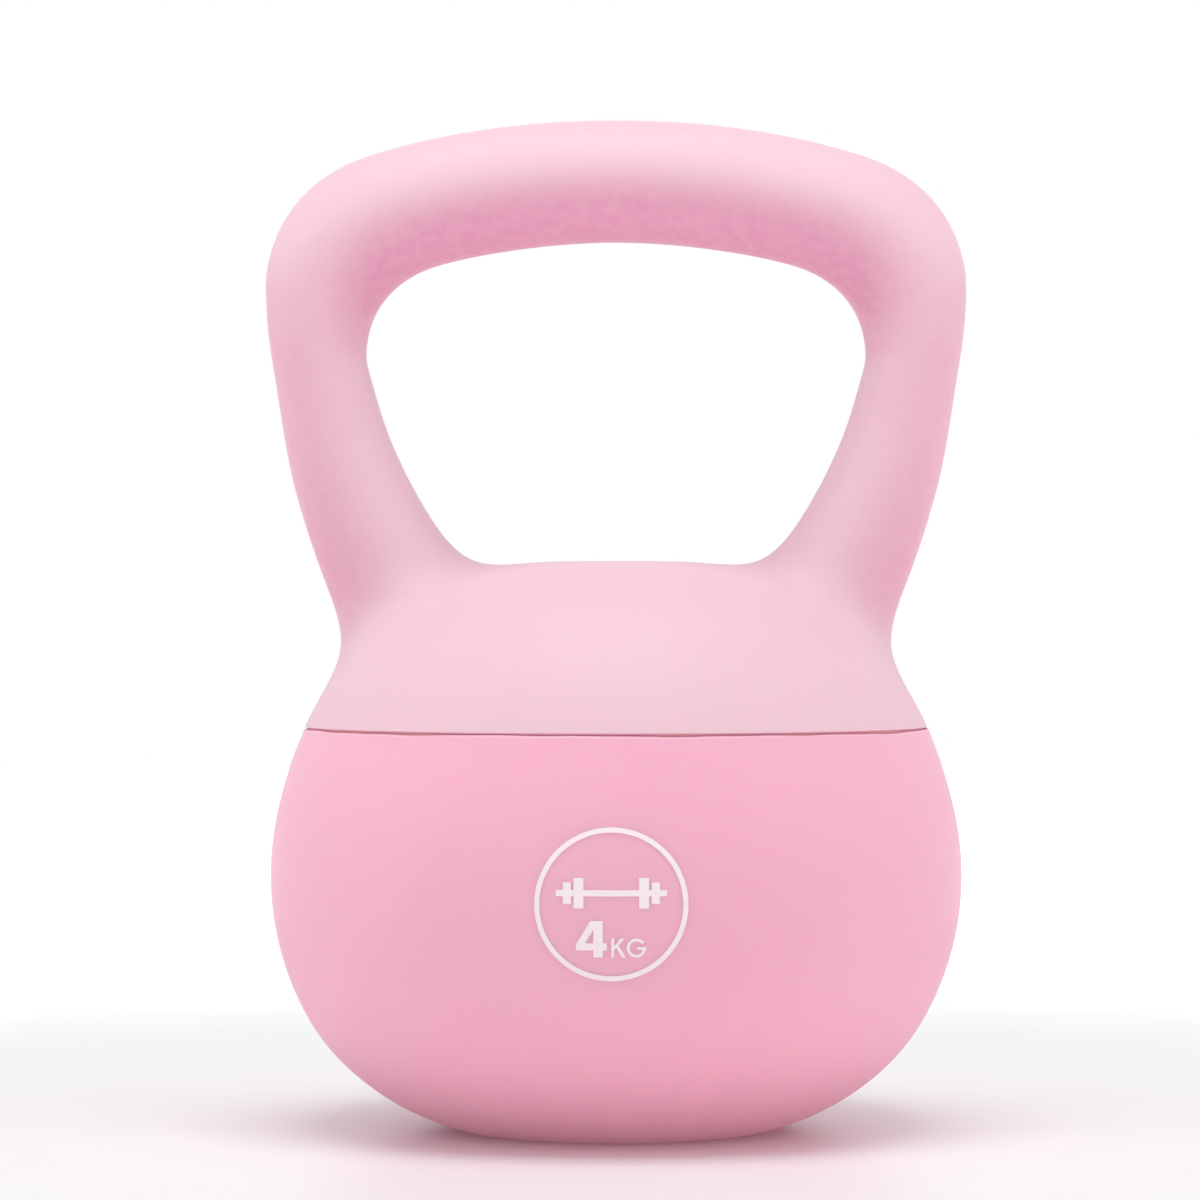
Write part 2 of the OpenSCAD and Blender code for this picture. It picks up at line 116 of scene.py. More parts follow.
# ---------------------------------------------------------------- materials
class Nodes:
    """Short calls for building one material's node tree."""

    def __init__(self, name):
        self.material = bpy.data.materials.new(name)
        self.material.use_nodes = True
        self.tree = self.material.node_tree
        self.tree.nodes.clear()
        self.output = self.tree.nodes.new("ShaderNodeOutputMaterial")
        self.shader = self.tree.nodes.new("ShaderNodeBsdfPrincipled")
        self.link(self.shader.outputs["BSDF"], self.output.inputs["Surface"])
        self.coords = self.tree.nodes.new("ShaderNodeTexCoord").outputs["Object"]

    def link(self, a, b):
        self.tree.links.new(a, b)

    def feed(self, socket, value):
        """Links a node's output to the socket, or sets the socket to a plain value."""
        if hasattr(value, "is_output"):
            self.link(value, socket)
        else:
            socket.default_value = value

    def noise(self, scale, detail=3.0, rough=0.5, stretch=None):
        node = self.tree.nodes.new("ShaderNodeTexNoise")
        node.inputs["Scale"].default_value = scale
        node.inputs["Detail"].default_value = detail
        node.inputs["Roughness"].default_value = rough
        vector = self.coords
        if stretch:
            mapping = self.tree.nodes.new("ShaderNodeMapping")
            mapping.inputs["Scale"].default_value = stretch
            self.link(self.coords, mapping.inputs["Vector"])
            vector = mapping.outputs["Vector"]
        self.link(vector, node.inputs["Vector"])
        return node.outputs["Fac"]

    def cells(self, scale):
        node = self.tree.nodes.new("ShaderNodeTexVoronoi")
        node.inputs["Scale"].default_value = scale
        self.link(self.coords, node.inputs["Vector"])
        return node.outputs["Distance"]

    def remap(self, value, low, high, to_low, to_high):
        node = self.tree.nodes.new("ShaderNodeMapRange")
        node.inputs["From Min"].default_value = low
        node.inputs["From Max"].default_value = high
        node.inputs["To Min"].default_value = to_low
        node.inputs["To Max"].default_value = to_high
        self.link(value, node.inputs["Value"])
        return node.outputs["Result"]

    def mix(self, factor, a, b):
        node = self.tree.nodes.new("ShaderNodeMix")
        node.data_type = "RGBA"
        self.link(factor, node.inputs["Factor"])
        for socket, colour in ((node.inputs["A"], a), (node.inputs["B"], b)):
            self.feed(socket, colour if hasattr(colour, "is_output") else (*colour, 1))
        return node.outputs["Result"]

    def math(self, operation, a, b):
        node = self.tree.nodes.new("ShaderNodeMath")
        node.operation = operation
        for socket, value in zip(node.inputs, (a, b)):
            self.feed(socket, value)
        return node.outputs["Value"]

    # Mask for the painted shade: it picks out surfaces that face down.
    def painted_shade_facing_down(self, start, full):
        """0 where the normal's upward part is above start, 1 where it is below full."""
        normal = self.tree.nodes.new("ShaderNodeNewGeometry").outputs["Normal"]
        split = self.tree.nodes.new("ShaderNodeSeparateXYZ")
        self.link(normal, split.inputs[0])
        node = self.tree.nodes.new("ShaderNodeMapRange")
        node.interpolation_type = "SMOOTHSTEP"
        node.inputs["From Min"].default_value = start
        node.inputs["From Max"].default_value = full
        self.link(split.outputs["Z"], node.inputs["Value"])
        return node.outputs["Result"]

    def bump(self, height, distance, strength=1.0, onto=None):
        node = self.tree.nodes.new("ShaderNodeBump")
        node.inputs["Strength"].default_value = strength
        node.inputs["Distance"].default_value = distance
        self.link(height, node.inputs["Height"])
        if onto is not None:
            self.link(onto, node.inputs["Normal"])
        return node.outputs["Normal"]

    def set(self, socket, value):
        self.feed(self.shader.inputs[socket], value)


def moulded(name, light, deep, rough, grain, grain_depth, scatter, sheen=0.0, painted_under_shade=None):
    """Matte moulded plastic: cloudy colour, fine spark-eroded grain, faint handling marks.

    light and deep are the two colours of its clouds. The last colour, if given, is a painted
    shade: it is mixed in where the surface faces down, in place of the shade under the grip.
    grain is how fine the grain is, and scatter how much light gets in.
    """
    n = Nodes(name)
    cloud = n.remap(n.noise(9.0, 4.0, 0.55), 0.35, 0.65, 0.0, 1.0)
    fleck = n.remap(n.noise(420.0, 2.0), 0.3, 0.7, 0.0, 0.22)
    tone = n.mix(cloud, light, deep)
    # Painted shade: a deeper colour where the surface faces down, in place of the shade that
    # falls under the grip.
    if painted_under_shade:
        tone = n.mix(n.painted_shade_facing_down(0.35, -0.5), tone, painted_under_shade)
    n.set("Base Color", n.mix(fleck, tone, deep))
    smear = n.noise(26.0, 5.0, 0.6, stretch=(1.0, 1.0, 0.35))
    n.set("Roughness", n.remap(smear, 0.3, 0.7, rough - 0.05, rough + 0.06))
    grains = n.math("ADD", n.cells(grain), n.math("MULTIPLY", n.noise(grain * 0.6, 2.0), 0.7))
    soft = n.bump(n.noise(38.0, 2.0), 0.00025, 0.25)
    n.set("Normal", n.bump(grains, grain_depth, 0.5, onto=soft))
    n.set("Subsurface Weight", scatter)
    n.set("Subsurface Radius", (1.0, 0.35, 0.5))
    n.set("Subsurface Scale", 0.006)
    n.set("Specular IOR Level", 0.25)
    if sheen:
        n.set("Sheen Weight", sheen)
        n.set("Sheen Roughness", 0.5)
        n.set("Sheen Tint", (1.0, 0.86, 0.9, 1.0))
    return n.material


def printed():
    """Pale ink, with a little of the body's pink where it is worn."""
    n = Nodes("print_ink")
    worn = n.remap(n.noise(900.0, 4.0, 0.65), 0.60, 0.72, 0.0, 0.35)
    n.set("Base Color", n.mix(worn, (0.97, 0.86, 0.90), (0.93, 0.64, 0.72)))
    n.set("Roughness", n.remap(n.noise(60.0), 0.3, 0.7, 0.36, 0.5))
    n.set("Normal", n.bump(n.noise(1400.0, 2.0), 0.00002, 0.4))
    return n.material


def plain_plastic():
    n = Nodes("natural_polypropylene")
    n.set("Base Color", n.mix(n.noise(30.0, 4.0), (0.74, 0.73, 0.70), (0.66, 0.65, 0.62)))
    n.set("Roughness", n.remap(n.noise(45.0, 4.0), 0.3, 0.7, 0.38, 0.55))
    n.set("Normal", n.bump(n.noise(700.0, 2.0), 0.00003, 0.5))
    n.set("Subsurface Weight", 0.15)
    n.set("Subsurface Scale", 0.003)
    return n.material


def zinc():
    n = Nodes("zinc_plate")
    n.set("Base Color", n.mix(n.noise(160.0, 5.0), (0.56, 0.57, 0.60), (0.70, 0.70, 0.68)))
    n.set("Metallic", 1.0)
    n.set("Roughness", n.remap(n.noise(500.0, 3.0), 0.3, 0.7, 0.26, 0.44))
    n.set("Normal", n.bump(n.noise(1200.0, 2.0), 0.00002, 0.5))
    return n.material


def rubber(name, light, deep, rough):
    n = Nodes(name)
    n.set("Base Color", n.mix(n.noise(120.0, 4.0), light, deep))
    n.set("Roughness", n.remap(n.noise(300.0, 3.0), 0.3, 0.7, rough - 0.06, rough + 0.08))
    n.set("Normal", n.bump(n.noise(900.0, 3.0), 0.00004, 0.6))
    return n.material


def foam():
    n = Nodes("eva_foam")
    pores = n.cells(650.0)
    n.set("Base Color", n.mix(n.remap(pores, 0.0, 0.6, 0.0, 1.0),
                              (0.035, 0.035, 0.04), (0.09, 0.09, 0.10)))
    n.set("Roughness", 0.9)
    n.set("Normal", n.bump(pores, 0.0006, 0.8))
    return n.material


def sand():
    n = Nodes("iron_sand_grains")
    grains = n.cells(1500.0)
    n.set("Base Color", n.mix(n.noise(1100.0, 1.0), (0.025, 0.023, 0.024), (0.14, 0.125, 0.12)))
    n.set("Roughness", n.remap(n.noise(1600.0), 0.3, 0.7, 0.4, 0.8))
    n.set("Metallic", n.remap(n.noise(1900.0), 0.45, 0.6, 0.0, 0.7))
    n.set("Normal", n.bump(grains, 0.0006, 1.0))
    return n.material


# The handle's plastic carries a painted shade: its last colour, a deeper pink, is mixed in where
# the surface faces down, in place of the shade under the grip.
SHELL = moulded("handle_plastic", (0.820, 0.552, 0.626), (0.806, 0.530, 0.608),
                0.50, 1500.0, 0.00003, 0.10, painted_under_shade=(0.72, 0.316, 0.455))
BODY = moulded("soft_pvc", (0.922, 0.460, 0.583), (0.908, 0.437, 0.561),
               0.46, 1100.0, 0.00005, 0.35, sheen=0.05)
PLUG = moulded("plug_pvc", (0.80, 0.42, 0.52), (0.76, 0.38, 0.48), 0.5, 900.0, 0.00006, 0.2)
GASKET = rubber("gasket_rubber", (0.88, 0.47, 0.47), (0.80, 0.38, 0.40), 0.6)
PLAIN = plain_plastic()
ZINC = zinc()
NODE_MATERIALS = {
    "bulkhead_plate": PLAIN,
    "clamp_ring": PLAIN,
    "fill_collar": PLAIN,
    "clamp_washers": ZINC,
    "clamp_screws": ZINC,
    "seam_gasket": GASKET,
    "foam_disc": foam(),
    "iron_sand": sand(),
    "fill_plug": PLUG,
    "plug_oring": rubber("black_rubber", (0.018, 0.018, 0.02), (0.03, 0.03, 0.032), 0.5),
    "weight_mark": printed(),
}
for node_name, material in NODE_MATERIALS.items():
    node = frame["nodes"][node_name]
    if not node.material_slots:
        node.data.materials.append(material)
    for material_slot in node.material_slots:
        material_slot.material = material


# ---------------------------------------------------------------- outline of the loop
PIECES_PER_KNOT = 60


def heading(degrees):
    return Vector((math.cos(math.radians(degrees)), math.sin(math.radians(degrees))))


def cubic_chain(knots):
    """Travelled lengths and points; a knot is [x, z, heading, arm before, arm after]."""
    points = []
    for (x0, z0, h0, _, a0), (x1, z1, h1, b1, _) in zip(knots, knots[1:]):
        p0, p3 = Vector((x0, z0)), Vector((x1, z1))
        p1 = p0 + a0 * heading(h0)
        p2 = p3 - b1 * heading(h1)
        for i in range(1 if points else 0, PIECES_PER_KNOT + 1):
            t = i / PIECES_PER_KNOT
            points.append((1 - t) ** 3 * p0 + 3 * (1 - t) ** 2 * t * p1
                          + 3 * (1 - t) * t * t * p2 + t ** 3 * p3)
    travel = [0.0]
    for a, b in zip(points, points[1:]):
        travel.append(travel[-1] + (b - a).length)
    return travel, points


OUTER = cubic_chain([
    (0, TOTAL_HEIGHT, 0, 0, 14), (59.05, TOTAL_HEIGHT - 8.5, -18, 23.5, 23.4),
    (LOOP_HALF_WIDTH, LOOP_WIDE_Z, -90, 4.6, 34.1), (65.6, 116.4, -90, 8, 0)])
OPENING = cubic_chain([
    (0, OPENING_TOP, 0, 0, 17.9), (46.4, OPENING_TOP - 7, -25, 7.5, 9.2),
    (OPENING_HALF_WIDTH, OPENING_WIDE_Z, -90, 9.4, 5.5), (44, 145.1, -123.6, 14.6, 0)])


def along(line, s):
    """The point of the line at travelled length s, in the plane of the loop."""
    travel, points = line
    s = min(max(s, 0.0), travel[-1])
    low, high = 0, len(travel) - 1
    while high - low > 1:
        middle = (low + high) // 2
        if travel[middle] <= s:
            low = middle
        else:
            high = middle
    t = (s - travel[low]) / (travel[high] - travel[low])
    p = points[low].lerp(points[high], t)
    return Vector((p.x, 0.0, p.y))


# ---------------------------------------------------------------- dome and legs
# These three give about the distance from the surface, below zero inside it.
def dome(x, y, z):
    r2 = x * x + y * y
    d2 = r2 + (z - DOME_Z) ** 2
    return math.sqrt(d2) - DOME_R + DOME_FLAT * math.exp(-r2 / (DOME_SPREAD ** 2 * d2))


def leg(x, y, z):
    across, down = x - LEG_X, LEG_Z - z
    t = max(0.0, -across * math.sin(LEG_LEAN) + down * math.cos(LEG_LEAN))
    off = -across * math.cos(LEG_LEAN) - down * math.sin(LEG_LEAN) - LEG_BEND * t * t
    half = LEG_HALF + LEG_FLARE * t * t
    deep = GRIP_DEPTH + LEG_DEEPEN * t * t
    return (math.hypot(off / half, y / deep) - 1) * half


def shoulder(x, y, z):
    a, b = dome(x, y, z), leg(x, y, z)
    h = max(FILLET - abs(a - b), 0.0) / FILLET
    return min(a, b) - h ** 3 * FILLET / 6


FAR_OUTSIDE, HALVINGS = 110.0, 24


def reach(c, d, inset):
    """How far from c, along d, the shoulder's surface less the inset is met."""
    low, high = 0.0, FAR_OUTSIDE
    for _ in range(HALVINGS):
        m = (low + high) / 2
        if shoulder(c.x + m * d.x, c.y + m * d.y, c.z + m * d.z) < -inset:
            low = m
        else:
            high = m
    return (low + high) / 2


# ---------------------------------------------------------------- sections round the loop
# From the grip's middle down to the front. The upper stations are pinned by distances
# along the two outlines; the lower ones fan out from a centre, with two end headings.
PIN_OUTER = [0, 46, 82, 112, 142]
PIN_OPENING = [0, 40, 59.5, 72, 89]
FAN_X = [63.5, 55.6, 50, 45.5, 36.5, 19, 0]
FAN_Z = [155, 138, 125, 116.5, 112.5, 111, 111]
FAN_INNER = [166, 147, 133, 124, 113, 100, 90]
FAN_OUTER = [-15, -19, -30, -37.6]
LAST_PINNED, SEAM_CORNER, LAST_STATION = 3, 7, 10
SEAM_STEP_DEGREES = 30
FULLNESS = 1.4


def smooth(values, t):
    """A curve through evenly spaced values, at position t."""
    last = len(values) - 1
    i = min(int(math.floor(t)), last - 1)
    f = t - i
    b, c = values[i], values[i + 1]
    a = values[i - 1] if i > 0 else 2 * values[0] - values[1]
    d = values[i + 2] if i + 2 <= last else 2 * values[last] - values[last - 1]
    return 0.5 * (2 * b + (c - a) * f + (2 * a - 5 * b + 4 * c - d) * f * f
                  + (3 * b - a - 3 * c + d) * f ** 3)


def flat_heading(degrees):
    flat = heading(degrees)
    return Vector((flat.x, 0.0, flat.y))


pin_h, pin_o = along(OPENING, PIN_OPENING[LAST_PINNED]), along(OUTER, PIN_OUTER[LAST_PINNED])
pin_c = (pin_h + pin_o) / 2
pin_angle = 180 + math.degrees(math.atan((pin_o.z - pin_h.z) / (pin_o.x - pin_h.x)))
JOIN_X = [2 * pin_c.x - FAN_X[0], pin_c.x] + FAN_X
JOIN_Z = [2 * pin_c.z - FAN_Z[0], pin_c.z] + FAN_Z
JOIN_INNER = [2 * pin_angle - FAN_INNER[0], pin_angle] + FAN_INNER
JOIN_OUTER = [0, pin_angle - 180] + FAN_OUTER


def seam_point(k, r, z):
    a = math.radians((k - SEAM_CORNER) * SEAM_STEP_DEGREES)
    return Vector((r * math.cos(a), -r * math.sin(a), z))


def pinned(k):
    h, o = along(OPENING, smooth(PIN_OPENING, k)), along(OUTER, smooth(PIN_OUTER, k))
    c = (h + o) / 2
    return c, (h - c).normalized(), (o - c).normalized(), (h - c).length


def fanned(k):
    j = k - LAST_PINNED + 1
    c = Vector((smooth(JOIN_X, j), 0.0, smooth(JOIN_Z, j)))
    if k < SEAM_CORNER:
        e = flat_heading(smooth(JOIN_OUTER, j))
    else:
        e = (seam_point(k, SEAM_R, SEAM_Z) - c).normalized()
    return c, flat_heading(smooth(JOIN_INNER, j)), e, 0.0


def hand_over(k):
    """0 at pinned stations, 1 at fanned ones."""
    return smoothstep(0, 1, k - LAST_PINNED)


def station(k):
    """Centre, heading to the opening, heading to the outside, and half thickness."""
    if k <= LAST_PINNED:
        return pinned(k)
    if k >= LAST_PINNED + 1:
        return fanned(k)
    w, p, f = hand_over(k), pinned(k), fanned(k)
    return (p[0].lerp(f[0], w), p[1].lerp(f[1], w).normalized(),
            p[2].lerp(f[2], w).normalized(), p[3])


LIP_WALL_R = math.sqrt((DOME_R - WALL - LIP_SETBACK) ** 2
                       - (SEAM_Z + LIP_T - DOME_Z) ** 2)


def grip_depth(k):
    return GRIP_DEPTH + GRIP_SWELL * min(max(SWELL_END - k, 0), 1)


def skin_point(k, v, inset, seam_r, seam_z):
    """Station k's section at v, from 0 at the opening to 1 outside or on the seam."""
    c, a, e, half = station(k)
    w = hand_over(k)
    d = ((1 - v) ** 2 * a + Vector((0, -2 * v * (1 - v) * FULLNESS, 0)) + v * v * e).normalized()
    far = 0.0
    if w < 1:
        deep = grip_depth(k) - inset
        side = math.sqrt(max(0.0, 1 - d.y * d.y))
        far += (1 - w) / math.hypot(side / (half - inset), d.y / deep)
    if w > 0:
        far += w * reach(c, d, inset)
    p = c + far * d
    if k >= SEAM_CORNER:
        # The last rows close what is missing to the seam.
        miss = seam_point(k, seam_r, seam_z) - c - reach(c, e, inset) * e
        p += miss * v ** 6
    return p


# ---------------------------------------------------------------- the two moulded halves
# Steps from station to station, and rows across a section
STEPS = 12
MIDDLE_ROWS = 34
INNER_ROWS = 12
# The skin's edges sit back a little, which shows the joint as a fine groove.
GROOVE, SEAM_EASE = 0.13, 0.3
EDGE_ROWS = (0.0, 0.007, 0.022)

# Steps round the right side, up to the seam's corner on it, and round the whole loop.
# The left side mirrors the right one.
HALF_COUNT = LAST_STATION * STEPS
CORNER = SEAM_CORNER * STEPS
LOOP = 2 * HALF_COUNT


def half_rows():
    span = 1 - 2 * EDGE_ROWS[-1]
    middle = [EDGE_ROWS[-1] + span * i / MIDDLE_ROWS for i in range(1, MIDDLE_ROWS)]
    return list(EDGE_ROWS) + middle + [1 - v for v in reversed(EDGE_ROWS)]


def on_planes(p, i, first, last):
    """Puts a point of step i exactly on the joint plane and the middle plane it ends on."""
    if first or (last and i <= CORNER):
        p.y = 0.0
    if i in (0, HALF_COUNT):
        p.x = 0.0
    return p


def outer_side(rows):
    """The outer skin's right side, one list of points for each step."""
    side = []
    for i in range(HALF_COUNT + 1):
        line = []
        for j, v in enumerate(rows):
            first, last = j == 0, j == len(rows) - 1
            edge = first or last
            p = skin_point(i / STEPS, v, GROOVE if edge else 0.0,
                           SEAM_R - (SEAM_EASE if edge else 0.0), SEAM_Z)
            line.append(on_planes(p, i, first, last))
        side.append(line)
    return side


def inner_side():
    """The inner skin's right side, in the same way."""
    side = []
    for i in range(HALF_COUNT + 1):
        line = []
        for j in range(INNER_ROWS + 1):
            p = skin_point(i / STEPS, j / INNER_ROWS, WALL, LIP_WALL_R, SEAM_Z + LIP_T)
            line.append(on_planes(p, i, j == 0, j == INNER_ROWS))
        side.append(line)
    return side


def half_faces(outs, ins, lips):
    """Faces of both skins, the rims between them and the lip over the seam."""
    faces = []
    for s in range(LOOP):
        n = (s + 1) % LOOP
        for j in range(len(outs[s]) - 1):
            faces.append((outs[s][j], outs[n][j], outs[n][j + 1], outs[s][j + 1]))
        for j in range(INNER_ROWS):
            faces.append((ins[s][j], ins[s][j + 1], ins[n][j + 1], ins[n][j]))
        faces.append((outs[s][0], ins[s][0], ins[n][0], outs[n][0]))
        if CORNER <= s < LOOP - CORNER:
            faces.append((outs[s][-1], outs[n][-1], lips[n][0], lips[s][0]))
            faces.append((lips[s][0], lips[n][0], lips[n][1], lips[s][1]))
            faces.append((lips[s][1], lips[n][1], ins[n][-1], ins[s][-1]))
        else:
            faces.append((outs[s][-1], outs[n][-1], ins[n][-1], ins[s][-1]))
    for s in (CORNER, LOOP - CORNER):
        faces.append((outs[s][-1], lips[s][0], lips[s][1], ins[s][-1]))
    return faces


def build_half(name, mirror_y, material):
    """Outer skin, inner skin, rims and lip of one half, as one closed shell."""
    points = []

    def place(p, flip):
        y = p.y - JOINT_GAP / 2
        points.append((-p.x if flip else p.x, -y if mirror_y else y, p.z))
        return len(points) - 1

    def column(side, s):
        flip = s > HALF_COUNT
        return [place(p, flip) for p in side[LOOP - s if flip else s]]

    outer, inner = outer_side(half_rows()), inner_side()
    outs = [column(outer, s) for s in range(LOOP)]
    ins = [column(inner, s) for s in range(LOOP)]
    lips = {}
    for s in range(CORNER, LOOP - CORNER + 1):
        a = math.pi * (s - CORNER) / (LOOP - 2 * CORNER)
        ring = Vector((LIP_R * math.cos(a), -LIP_R * math.sin(a), SEAM_Z))
        lips[s] = (place(ring, False), place(ring + Vector((0, 0, LIP_T)), False))
    return mesh_object(name, points, half_faces(outs, ins, lips), material)


handle_front = build_half("handle_front_skin", False, SHELL)
handle_rear = build_half("handle_rear_skin", True, SHELL)
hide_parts("handle_front_half")
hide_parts("handle_rear_half")
for piece in (handle_front, handle_rear):
    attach(piece, "root")


# ---------------------------------------------------------------- the soft cup
def arc_centres():
    """Centres (r, z) of the section's four arcs, each arc tangent to the next."""
    belly = Vector((BODY_R - BELLY_ARC, BODY_Z))
    upper = belly + (BELLY_ARC - UPPER_ARC) * heading(BELLY_UP)
    lower = belly + (BELLY_ARC - LOWER_ARC) * heading(-BELLY_DOWN)
    foot = lower + (LOWER_ARC - FOOT_ARC) * heading(-LOWER_END)
    return belly, upper, lower, foot


def bowl_profile(inset, z_top, z_bottom, step):
    """Points (r, z) down the bowl from z_top to z_bottom, about a step apart."""
    belly, upper, lower, foot = arc_centres()
    top = math.asin((z_top - upper.y) / (UPPER_ARC - inset))
    bottom = math.asin((z_bottom - foot.y) / (FOOT_ARC - inset))
    up, down, end = (math.radians(a) for a in (BELLY_UP, -BELLY_DOWN, -LOWER_END))
    line = []
    for centre, radius, start, stop in (
            (upper, UPPER_ARC, top, up), (belly, BELLY_ARC, up, down),
            (lower, LOWER_ARC, down, end), (foot, FOOT_ARC, end, bottom)):
        radius -= inset
        count = max(2, int(abs(start - stop) * radius / step))
        for i in range(1 if line else 0, count + 1):
            a = start + (stop - start) * i / count
            line.append((centre.x + radius * math.cos(a), centre.y + radius * math.sin(a)))
    return line


CUP_TOP = SEAM_Z - SEAM_GAP
# The rounded rim, as (distance in from the skin, distance down from the top), and how far
# down the bowl's own section begins
RIM = ((1.0, 0.0), (0.45, 0.1), (0.12, 0.4))
RIM_DROP = 0.9
# One ring of points on the flat foot, this far in from its edge
FOOT_RING = 2.5
# Bevel of the base opening, across and up, and of the mouth
OPENING_BEVEL, OPENING_RISE, MOUTH_BEVEL = 0.6, 0.5, 0.3
# Distances between points down the skin and inside, and points round the cup
SKIN_STEP, INSIDE_STEP = 1.6, 5.0
CUP_AROUND = 360


def cup_loop():
    """The cup's closed section, and how many of its points are on the outer skin."""
    skin = bowl_profile(0.0, CUP_TOP - RIM_DROP, 0.0, SKIN_STEP)
    r_top, r_foot = skin[0][0], skin[-1][0]
    rim = [(r_top - inward, CUP_TOP - down) for inward, down in RIM]
    foot = [(r_foot - FOOT_RING, 0.0), (BASE_OPENING + OPENING_BEVEL, 0.0),
            (BASE_OPENING, OPENING_RISE), (BASE_OPENING, CUP_FLOOR)]
    inside = bowl_profile(CUP_WALL, CUP_TOP - CUP_WALL, CUP_FLOOR, INSIDE_STEP)[::-1]
    mouth = [(MOUTH_R, CUP_TOP - CUP_WALL), (MOUTH_R, CUP_TOP - MOUTH_BEVEL),
             (MOUTH_R + MOUTH_BEVEL, CUP_TOP)]
    return rim + skin + foot + inside + mouth, len(rim) + len(skin)


# The soft rim's unevenness, in millimetres: waves as (height, waves round, phase), how far
# it is lifted on the whole, and one narrow dip at the left.
RIM_WAVES = ((0.10, 3, 0.6), (0.09, 7, 2.1), (0.06, 15, 0.4), (0.04, 29, 1.0))
RIM_LIFT, RIM_DIP = 0.30, 0.5
RIM_DIP_AT, RIM_DIP_WIDTH = math.radians(183), 0.03
# The unevenness fades out over this height below the rim.
RIM_FADE = 5


def rim_wave(angle):
    """How far the soft rim stands off its ideal height, in millimetres."""
    height, turns, phase = RIM_WAVES[0]
    wave = height * math.sin(turns * angle + phase)
    for height, turns, phase in RIM_WAVES[1:]:
        wave += height * math.sin(turns * angle + phase)
    off = angle - RIM_DIP_AT
    away = math.atan2(math.sin(off), math.cos(off))
    return wave + RIM_LIFT - RIM_DIP * math.exp(-(away / RIM_DIP_WIDTH) ** 2)


# The recess's edge slopes between these distances past the mark's radius.
RECESS_START, RECESS_END = 0.35, 2.2
# The outer skin is slightly uneven, fully so above one height and not at all below another.
UNEVEN, UNEVEN_SCALE = 0.10, 0.03
UNEVEN_ORIGIN = Vector((3.1, 0.7, 5.2))
EVEN_BELOW, UNEVEN_ABOVE = 2, 14


def soften(x, y, z, outward):
    """How far to move a point of the outer skin: mark recess and slight unevenness."""
    depth = 0.0
    if y < 0:
        away = math.hypot(x - MARK_X, z - MARK_Z)
        slope = smoothstep(MARK_R + RECESS_START, MARK_R + RECESS_END, away)
        depth = MARK_RECESS * (1 - slope)
    calm = 1 - depth / MARK_RECESS if depth else 1.0
    high = smoothstep(EVEN_BELOW, UNEVEN_ABOVE, z)
    uneven = UNEVEN * noise.noise(Vector((x, y, z)) * UNEVEN_SCALE + UNEVEN_ORIGIN)
    return outward * (uneven * calm * high - depth)


def cup_point(section, j, angle, on_skin):
    """Point j of the section, turned to the angle, with the cup's unevenness."""
    ca, sa = math.cos(angle), math.sin(angle)
    r, z = section[j]
    lift = 0.0
    if j < on_skin:
        lift = rim_wave(angle) * (1 - smoothstep(0, RIM_FADE, CUP_TOP - z))
    p = Vector((r * ca, r * sa, z + lift))
    if len(RIM) <= j < on_skin - 1:
        dr = section[j + 1][0] - section[j - 1][0]
        dz = section[j + 1][1] - section[j - 1][1]
        length = math.hypot(dr, dz)
        outward = Vector((-dz / length * ca, -dz / length * sa, dr / length))
        p += soften(p.x, p.y, p.z, outward)
    return tuple(p)


def build_cup():
    section, on_skin = cup_loop()
    size = len(section)
    points, faces = [], []
    for i in range(CUP_AROUND):
        angle = 2 * math.pi * i / CUP_AROUND
        points += [cup_point(section, j, angle, on_skin) for j in range(size)]
        n = (i + 1) % CUP_AROUND
        for j in range(size):
            m = (j + 1) % size
            faces.append((i * size + j, i * size + m, n * size + m, n * size + j))
    return mesh_object("soft_cup", points, faces, BODY)


soft_cup = build_cup()
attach(soft_cup, "root")
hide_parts("soft_shell")


# ---------------------------------------------------------------- floor, light, camera
# The floor is a disc, in millimetres. Its glow starts and is full at these distances from
# the object, in metres, so that the far floor meets the white backdrop.
FLOOR_R, FLOOR_SIDES = 2600, 96
GLOW_START, GLOW_FULL, GLOW = 0.2, 1.1, 1.32


def studio_floor():
    """A pale satin table: plain white near the object, glowing white far from it."""
    angles = [2 * math.pi * i / FLOOR_SIDES for i in range(FLOOR_SIDES)]
    rim = [(FLOOR_R * math.cos(a), FLOOR_R * math.sin(a), 0) for a in angles]
    n = Nodes("studio_table")
    n.set("Base Color", (0.93, 0.925, 0.927, 1.0))
    n.set("Roughness", n.remap(n.noise(3.0), 0.3, 0.7, 0.28, 0.34))
    n.set("Specular IOR Level", 0.08)
    distance = n.tree.nodes.new("ShaderNodeVectorMath")
    distance.operation = "LENGTH"
    n.link(n.coords, distance.inputs[0])
    n.set("Emission Color", (1.0, 1.0, 1.0, 1.0))
    glow = n.remap(distance.outputs["Value"], GLOW_START, GLOW_FULL, 0.0, GLOW)
    glow.node.interpolation_type = "SMOOTHSTEP"
    n.set("Emission Strength", glow)
    table = mesh_object("studio_floor", rim, [tuple(range(FLOOR_SIDES))], n.material)
    return table


def object_collection(floor):
    """Every mesh but the floor, for lights that are flagged off the floor."""
    pieces = bpy.data.collections.new("object_only")
    for piece in bpy.context.scene.objects:
        if piece.type == "MESH" and piece != floor:
            pieces.objects.link(piece)
    return pieces


def soft_light(name, place, aim, width, height, power, only=None):
    """A softbox, in metres and watts, that lights and is blocked by "only", if given."""
    data = bpy.data.lights.new(name, "AREA")
    data.shape = "RECTANGLE"
    data.size, data.size_y = width, height
    data.energy = power
    obj = bpy.data.objects.new(name, data)
    obj.location = place
    obj.rotation_euler = (Vector(aim) - Vector(place)).to_track_quat("-Z", "Y").to_euler()
    bpy.context.scene.collection.objects.link(obj)
    if only is not None:
        obj.light_linking.receiver_collection = only
        obj.light_linking.blocker_collection = only


ROOM_LIGHT, BACKDROP = 0.549, 1.0


